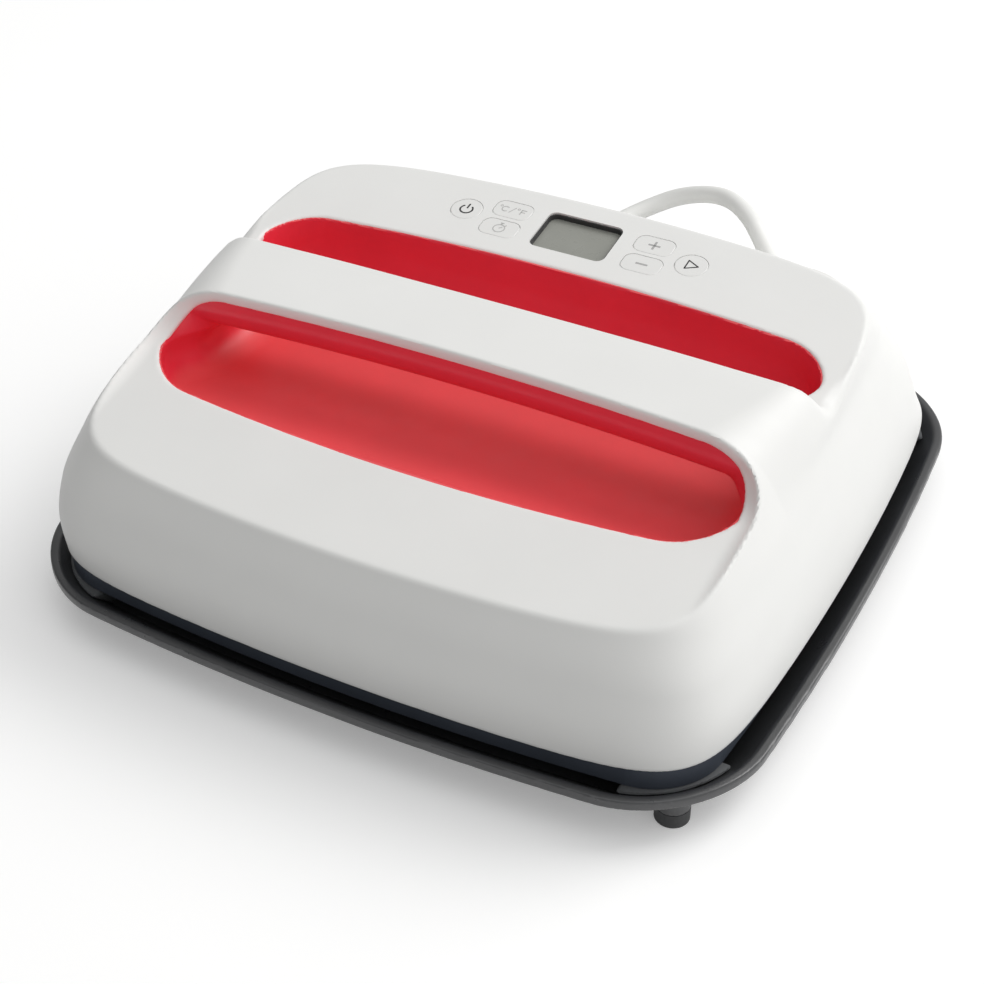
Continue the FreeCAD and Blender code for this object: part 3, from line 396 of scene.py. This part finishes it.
def strap(name, xc, yc, w=9.0, half_y=8.0, z0=0.05, z1=14.6, th=0.5):
    zc, hz = (z0 + z1) / 2, (z1 - z0) / 2
    loop_o, loop_i = [], []
    r = 4.2
    for cx, cz, a0 in ((1, 1, 0), (-1, 1, 90), (-1, -1, 180), (1, -1, 270)):
        for k in range(7):
            a = math.radians(a0 + 15 * k)
            oy, oz = cx * (half_y - r), cz * (hz - r)
            loop_o.append((oy + r * math.cos(a), oz + r * math.sin(a)))
            loop_i.append((oy + (r - th) * math.cos(a), oz + (r - th) * math.sin(a)))
    n = len(loop_o)
    vs, fs = [], []
    for sx in (-w / 2, w / 2):
        for lp in (loop_o, loop_i):
            vs += [((xc + sx) * MM, (yc + p[0]) * MM, (zc + p[1]) * MM) for p in lp]
    for k in range(n):
        j = (k + 1) % n
        fs += [(k, j, 2 * n + j, 2 * n + k), (n + j, n + k, 3 * n + k, 3 * n + j), (j, k, n + k, n + j), (2 * n + k, 2 * n + j, 3 * n + j, 3 * n + k)]
    # overlapped end of the strap on top
    t0 = len(vs)
    for x_, y_, z_ in ((-w / 2, -5.5, hz), (w / 2, -5.5, hz), (w / 2, 5.0, hz), (-w / 2, 5.0, hz)):
        vs.append(((xc + x_) * MM, (yc + y_) * MM, (zc + z_ + 0.05) * MM))
    for x_, y_, z_ in ((-w / 2, -5.5, hz), (w / 2, -5.5, hz), (w / 2, 5.0, hz), (-w / 2, 5.0, hz)):
        vs.append(((xc + x_) * MM, (yc + y_) * MM, (zc + z_ + 0.95) * MM))
    fs += [(t0 + 4, t0 + 5, t0 + 6, t0 + 7), (t0, t0 + 3, t0 + 2, t0 + 1)]
    fs += [(t0 + a, t0 + b, t0 + b + 4, t0 + a + 4) for a, b in ((0, 1), (1, 2), (2, 3), (3, 0))]
    o = put(name, vs, fs, M["strap"], "base")
    return o


strap("tie_front", -40.0, YC - 24.7)
strap("tie_rear", -14.0, YC + 24.7)


# ------------------------------------------------------------------ fields for the mouldings (millimetres)
def pchip(xs, ys, x):
    xs, ys = np.asarray(xs, float), np.asarray(ys, float)
    h = np.diff(xs)
    d = np.diff(ys) / h
    m = np.zeros_like(ys)
    for i in range(1, len(xs) - 1):
        if d[i - 1] * d[i] > 0:
            w1, w2 = 2 * h[i] + h[i - 1], h[i] + 2 * h[i - 1]
            m[i] = (w1 + w2) / (w1 / d[i - 1] + w2 / d[i])
    m[0], m[-1] = d[0], d[-1]
    xc = np.clip(x, xs[0], xs[-1])
    k = np.clip(np.searchsorted(xs, xc, side="right") - 1, 0, len(h) - 1)
    t = (xc - xs[k]) / h[k]
    a, b = ys[k], ys[k + 1]
    return ((2 * t ** 3 - 3 * t ** 2 + 1) * a + (t ** 3 - 2 * t ** 2 + t) * h[k] * m[k] + (-2 * t ** 3 + 3 * t ** 2) * b
            + (t ** 3 - t ** 2) * h[k] * m[k + 1])


def rmax(a, b, r):
    u = np.maximum(a + r, 0)
    v = np.maximum(b + r, 0)
    return np.minimum(np.maximum(a, b), -r) + np.sqrt(u * u + v * v)


def rbox(x, y, x0, x1, y0, y1, r):
    qx = np.abs(x - (x0 + x1) / 2) - ((x1 - x0) / 2 - r)
    qy = np.abs(y - (y0 + y1) / 2) - ((y1 - y0) / 2 - r)
    return np.sqrt(np.maximum(qx, 0) ** 2 + np.maximum(qy, 0) ** 2) + np.minimum(np.maximum(qx, qy), 0) - r


KZ = (22.7, 36, 50, 64, 78, 87, 95)
KA = (125, 123.9, 121.5, 117.2, 112.9, 112.4, 111.8)
KF = (-125, -126.1, -123.2, -116.3, -108.5, -105, -101.8)
KR = (125, 113, 105, 98, 88.6, 76.3, 64.1)
KN = (10, 10.7, 11.1, 9.7, 7.8, 8.0, 8.1)
FLY = (-79.3, -75.5, -70, -62, -50, -35, -18, -4, 6, 14, 20, 24.5, 27.5)
FLZ = (72, 68.6, 65.6, 63, 60.6, 58.6, 57.2, 57, 58.4, 62.2, 68.4, 77, 88.9)


def planes(y, z):
    return (z - (87.9 + 0.2 * y)) / math.sqrt(1.04), (z - (84.7 + 0.155 * y)) / math.sqrt(1 + 0.155 ** 2)


def opening(x, y):
    x2 = x * x
    return np.maximum(rbox(x, y - 0.00065 * x2, -105, 105, -79.3, 300, 22), rbox(x, y + 0.0006 * x2, -105, 105, -300, 27.3, 18))


def block(x, y, z):
    A, yf, yr, n = (pchip(KZ, k, z).astype(x.dtype) for k in (KA, KF, KR, KN))
    cy, h = (yf + yr) / 2, (yr - yf) / 2
    v = (y - cy) / h
    u = x / A
    w = A - 7.2 * np.minimum(v * v, 1.3)
    d = h - np.where(v < 0, 8.4, 10.5) * np.minimum(u * u, 1.3)
    g = (np.abs(x) / w) ** n + (np.abs(y - cy) / d) ** n
    f = (g ** (1 / n) - 1) * 112
    R = np.interp(y, (-45, -40, -30, -20, -10, 0, 16, 30, 60), (26, 24.4, 21, 17.9, 15.2, 14, 12, 10, 6)).astype(x.dtype)
    top = 93.6 + 0.12 * np.maximum(0, y)
    B = rmax(f, z - top, R)
    pF, pR = planes(y, z)
    x2 = x * x
    dF = rbox(x, y + 0.0005 * x2, -111.3, 111.3, -400, -42, 15)
    dR = rbox(x, y + 0.0002 * x2, -112, 112, -8, 400, 15)
    B = rmax(B, -rmax(dF, -pF, 8), 1.0)
    t1 = np.clip((np.abs(x) - 101.5) / 9, 0, 1)
    t2 = np.clip((18 - y) / 20, 0, 1)
    soft = 1.0 + 4.0 * t1 * t1 * (3 - 2 * t1) * t2 * t2 * (3 - 2 * t2)
    B = rmax(B, -rmax(dR, -pR, 3), soft)
    return B


def shell(x, y, z):
    B = block(x, y, z)
    x2 = x * x
    dZ = rbox(x, z, -103.6, 103.6, -500, 89.4, 18)
    T = opening(x, y)
    V = np.maximum(T, np.minimum(np.maximum(dZ, y + 8), rmax(T, -8.2 - y, 18)))
    s = rmax(B, 22.7 - z, 0.8)
    s = rmax(s, -V, 1.0)
    return np.maximum(s, -(B + 2.5))


def red(x, y, z):
    x2 = x * x
    T = opening(x, y) + 0.45
    slope = pchip(FLY, FLZ, y + 0.4) - pchip(FLY, FLZ, y - 0.4)
    fl = (pchip(FLY, FLZ, y) - z) / np.sqrt(1 + (slope / 0.8) ** 2)
    r = np.interp(y, (-79, -72, -60, -45, 8, 20, 27), (1.0, 3.5, 9, 16, 16, 6, 1.0))
    c = rmax(T, fl, r)
    hs = rbox(y, z, -41.8 - 0.0005 * x2, -8.35 - 0.0002 * x2, 76.5, 300, 9)
    c = rmax(c, -hs, np.clip((87 - z) * 1.5, 2.5, 18))
    s = np.maximum(-c, c - 2)
    B = block(x, y, z) + 0.5
    dZ = rbox(x, z, -105.2, 105.2, -500, 90.6, 18)
    mid = (y > -41.9 - 0.0005 * x2) & (y < -8.2 - 0.0002 * x2)
    return np.maximum(s, np.where(mid, np.maximum(B, dZ), B))


def field_mesh(f, lo, hi, h):
    n = [int(math.ceil((b - a) / h)) + 1 for a, b in zip(lo, hi)]
    xs, ys, zs = ((a + h * np.arange(k)).astype(np.float32) for a, k in zip(lo, n))
    v = f(xs[:, None, None], ys[None, :, None], zs[None, None, :]).astype(np.float32)
    g = openvdb.FloatGrid(3 * h)
    g.copyFromArray(np.clip(v, -3 * h, 3 * h))
    p, q = g.convertToQuads(0.0)
    p = np.asarray(p, float) * h + np.array(lo)
    q = np.asarray(q)
    e = 0.05
    for _ in range(3):
        X, Y, Z = p.T
        val = f(X, Y, Z)
        gr = np.stack([f(X + e, Y, Z) - f(X - e, Y, Z), f(X, Y + e, Z) - f(X, Y - e, Z), f(X, Y, Z + e) - f(X, Y, Z - e)], 1) / (2 * e)
        g2 = np.maximum((gr ** 2).sum(1), 0.15)
        step = np.clip(val / g2, -h / 2, h / 2)[:, None] * gr
        ln = np.linalg.norm(step, axis=1)[:, None]
        p = p - step * np.minimum(1, (h / 2) / np.maximum(ln, 1e-9))
    a, b, c = p[q[:, 0]], p[q[:, 1]], p[q[:, 2]]
    nn = np.cross(b - a, c - a)
    mid = p[q].mean(1)
    out = f(*(mid + 0.3 * nn / np.maximum(np.linalg.norm(nn, axis=1), 1e-9)[:, None]).T) - f(*(mid - 0.3 * nn / np.maximum(np.linalg.norm(nn, axis=1), 1e-9)[:, None]).T)
    if np.sum(out < 0) > len(out) / 2:
        q = q[:, ::-1]
    return p * MM, q.tolist()


HS = 0.8
HR = 0.75
sv, sf = field_mesh(shell, (-130, -131, 19), (130, 129, 98), HS)
body = put("press_shell", sv, sf, M["shell_white"], "press", sharp=38)
rv, rf = field_mesh(red, (-110, -84, 52), (110, 32, 92), HR)
tub = put("grip_tub", rv, rf, M["liner_red"], "press", sharp=38)
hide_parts("upper_housing")
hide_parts("grip_liner", "handle_cover")



# tray: a shallow pan with a wide-cornered rim, and the corner cradles that the plate stands on
def outline(x, y):
    u, v = np.minimum((x / 132) ** 2, 1.1), np.minimum((y / 132) ** 2, 1.1)
    return rbox(x, y, -132 + 7 * v, 132 - 7 * v, -132 + 9 * u, 132 - 10 * u, 36)


def hollow_of_tray(d, z):
    return np.maximum((d + 3 + (17.5 - z) * 1.0) * 0.71, 5.5 - z)


def tray(x, y, z):
    d = outline(x, y)
    rim = rmax(d, np.abs(z - 15.75) - 1.75, 0.7)
    pan = np.maximum(np.maximum((d + 3 + (14 - z) * 1.143) * 0.66, 3.5 - z), z - 15.5)
    s = rmax(np.minimum(rim, pan), -hollow_of_tray(d, z), 0.6)
    post = np.sqrt((np.abs(x) - 108) ** 2 + (np.abs(y) - 108) ** 2)
    boss = rmax(post - 5.5, np.abs(z - 9.2) - 4.2, 0.4)
    s = np.minimum(s, boss)
    return np.maximum(s, -np.maximum(post - 5.7, z - 5.0))


def cradles(x, y, z):
    d = outline(x, y)
    inside = hollow_of_tray(d, z) + 0.25
    corner = rbox(np.abs(x), np.abs(y), 94, 160, 94, 160, 7)
    top = z - np.where(d < -17, 13.1, 14.7)
    post = np.sqrt((np.abs(x) - 108) ** 2 + (np.abs(y) - 108) ** 2)
    return np.maximum(rmax(rmax(inside, corner, 1.2), top, 1.4), -np.maximum(post - 5.8, z - 13.45))


tv, tf_ = field_mesh(tray, (-134, -134, 2), (134, 134, 19), 0.7)
tray_ob = put("safety_tray", tv, tf_, M["tray_dark"], "base", sharp=38)
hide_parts("base_tray")
cv_, cf_ = field_mesh(cradles, (-134, -134, 4), (134, 134, 19), 0.8)
cradle_ob = put("corner_cradles", cv_, cf_, M["pad_grey"], "base", sharp=38)
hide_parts("corner_pads")


# ------------------------------------------------------------------ panel frame: keys, display and their holes
TILT = math.radians(8.811)
CS, SN = math.cos(TILT), math.sin(TILT)


def P(x, y, h):
    return (x * MM, (45.8 + y * CS - h * SN) * MM, (91.8 + y * SN + h * CS) * MM)


def round_rect(cx, cy, w, d, r, n=8):
    out = []
    for sx, sy, a0 in ((1, 1, 0), (-1, 1, 90), (-1, -1, 180), (1, -1, 270)):
        for k in range(n + 1):
            a = math.radians(a0 + 90 * k / n)
            out.append((cx + sx * (w / 2 - r) + r * math.cos(a), cy + sy * (d / 2 - r) + r * math.sin(a)))
    return out


def disc(cx, cy, r, n=48):
    return [(cx + r * math.cos(2 * math.pi * k / n), cy + r * math.sin(2 * math.pi * k / n)) for k in range(n)]


def prisms(loops, h0, h1):
    vs, fs = [], []
    for lp in loops:
        b, n = len(vs), len(lp)
        vs += [P(x, y, h0) for x, y in lp] + [P(x, y, h1) for x, y in lp]
        fs.append(tuple(range(b + n - 1, b - 1, -1)))
        fs.append(tuple(range(b + n, b + 2 * n)))
        fs += [(b + k, b + (k + 1) % n, b + n + (k + 1) % n, b + n + k) for k in range(n)]
    return vs, fs


holes = [disc(-43.4, 0, 5.98), disc(43.4, 0, 5.98), round_rect(0, 0, 28.7, 20.4, 3)]
for kx, ky in ((-27.4, 5.3), (-27.4, -5.7), (27.4, 5.3), (27.4, -5.7)):
    holes.append(round_rect(kx, ky, 14.66, 9.46, 3.48))
cv, cf = prisms(holes, -6, 4)
cm = bpy.data.meshes.new("cutter")
cm.from_pydata(cv, [], cf)
cm.update()
cutter = bpy.data.objects.new("cutter", cm)
COL.objects.link(cutter)
mod = body.modifiers.new("holes", "BOOLEAN")
mod.operation = "DIFFERENCE"
mod.solver = "EXACT"
mod.object = cutter
dg = bpy.context.evaluated_depsgraph_get()
new = bpy.data.meshes.new_from_object(body.evaluated_get(dg), depsgraph=dg)
body.modifiers.remove(mod)
old = body.data
body.data = new
new.name = "press_shell"
bpy.data.meshes.remove(old)
bpy.data.objects.remove(cutter)
new.materials.clear()
new.materials.append(M["shell_white"])
for p in new.polygons:
    p.material_index = 0
new.shade_smooth()
new.set_sharp_from_angle(angle=math.radians(38))

# dark gasket round the window
o_, i_ = round_rect(0, 0, 28.5, 20.2, 2.95), round_rect(0, 0, 27.5, 19.2, 2.5)
n_ = len(o_)
gv = [P(x, y, -2.55) for x, y in o_] + [P(x, y, -0.7) for x, y in o_] + [P(x, y, -2.55) for x, y in i_] + [P(x, y, -0.7) for x, y in i_]
gf = []
for k in range(n_):
    j = (k + 1) % n_
    gf += [(k, j, n_ + j, n_ + k), (n_ + k, n_ + j, 3 * n_ + j, 3 * n_ + k), (3 * n_ + k, 3 * n_ + j, 2 * n_ + j, 2 * n_ + k), (2 * n_ + k, 2 * n_ + j, j, k)]
gk = put("window_gasket", gv, gf, M["bezel_dark"], "press")


# printed signs on the keys
def icon(name, loops, look, body_name, h0=-0.03, h1=0.05):
    vs, fs = prisms(loops, h0, h1)
    o = put(name, vs, fs, look, body_name, smooth=False)
    return o


def bar(x0, y0, x1, y1, w):
    dx, dy = x1 - x0, y1 - y0
    L = math.hypot(dx, dy)
    nx, ny = -dy / L * w / 2, dx / L * w / 2
    return [(x0 - nx, y0 - ny), (x1 - nx, y1 - ny), (x1 + nx, y1 + ny), (x0 + nx, y0 + ny)]


def arc(cx, cy, r, w, a0, a1, n=24):
    out = []
    for k in range(n):
        a, b = math.radians(a0 + (a1 - a0) * k / n), math.radians(a0 + (a1 - a0) * (k + 1) / n)
        ri, ro = r - w / 2, r + w / 2
        out.append([(cx + ri * math.cos(a), cy + ri * math.sin(a)), (cx + ro * math.cos(a), cy + ro * math.sin(a)),
                    (cx + ro * math.cos(b), cy + ro * math.sin(b)), (cx + ri * math.cos(b), cy + ri * math.sin(b))])
    return out


kx, ky = -43.4, 0.0
icon("sign_power", arc(kx, ky - 0.2, 2.3, 0.62, 128, 412) + [bar(kx, ky + 0.3, kx, ky + 3.0, 0.62)], M["print_black"], "power_key")
kx = 43.4
tri = [(kx - 1.7, ky - 2.3), (kx + 2.5, ky), (kx - 1.7, ky + 2.3)]
icon("sign_go", [bar(*tri[0], *tri[1], 0.5), bar(*tri[1], *tri[2], 0.5), bar(*tri[2], *tri[0], 0.5)] + [disc(a, b, 0.25, 10) for a, b in tri], M["print_black"], "go_key")
kx, ky = 27.4, 5.3
icon("sign_plus", [bar(kx - 2.2, ky, kx + 2.2, ky, 0.8), bar(kx, ky - 2.2, kx, ky + 2.2, 0.8)], M["print_grey"], "plus_key")
kx, ky = 27.4, -5.7
icon("sign_minus", [bar(kx - 2.2, ky, kx + 2.2, ky, 0.8)], M["print_grey"], "minus_key")
kx, ky = -27.4, -5.7
icon("sign_timer", arc(kx, ky - 0.3, 2.1, 0.42, 0, 360, 32) + [bar(kx - 0.7, ky + 2.75, kx + 0.7, ky + 2.75, 0.5), bar(kx, ky + 1.8, kx, ky + 2.7, 0.4),
     bar(kx, ky - 0.3, kx + 0.95, ky + 0.65, 0.4), bar(kx + 1.5, ky + 1.5, kx + 2.0, ky + 2.0, 0.4)], M["print_pale"], "timer_key")
kx, ky = -27.4, 5.3
deg = []
# ring and a C, a slash, ring and an F
deg += arc(kx - 5.0, ky + 1.2, 0.42, 0.26, 0, 360, 14) + arc(kx - 2.9, ky - 0.1, 1.35, 0.42, 48, 312, 20)
deg += [bar(kx - 1.0, ky - 1.7, kx + 0.6, ky + 1.6, 0.34)]
deg += arc(kx + 1.9, ky + 1.2, 0.42, 0.26, 0, 360, 14)
deg += [bar(kx + 3.2, ky - 1.5, kx + 3.2, ky + 1.35, 0.42), bar(kx + 3.0, ky + 1.15, kx + 5.0, ky + 1.15, 0.42), bar(kx + 3.2, ky - 0.05, kx + 4.7, ky - 0.05, 0.42)]
icon("sign_units", deg, M["print_pale"], "units_key")
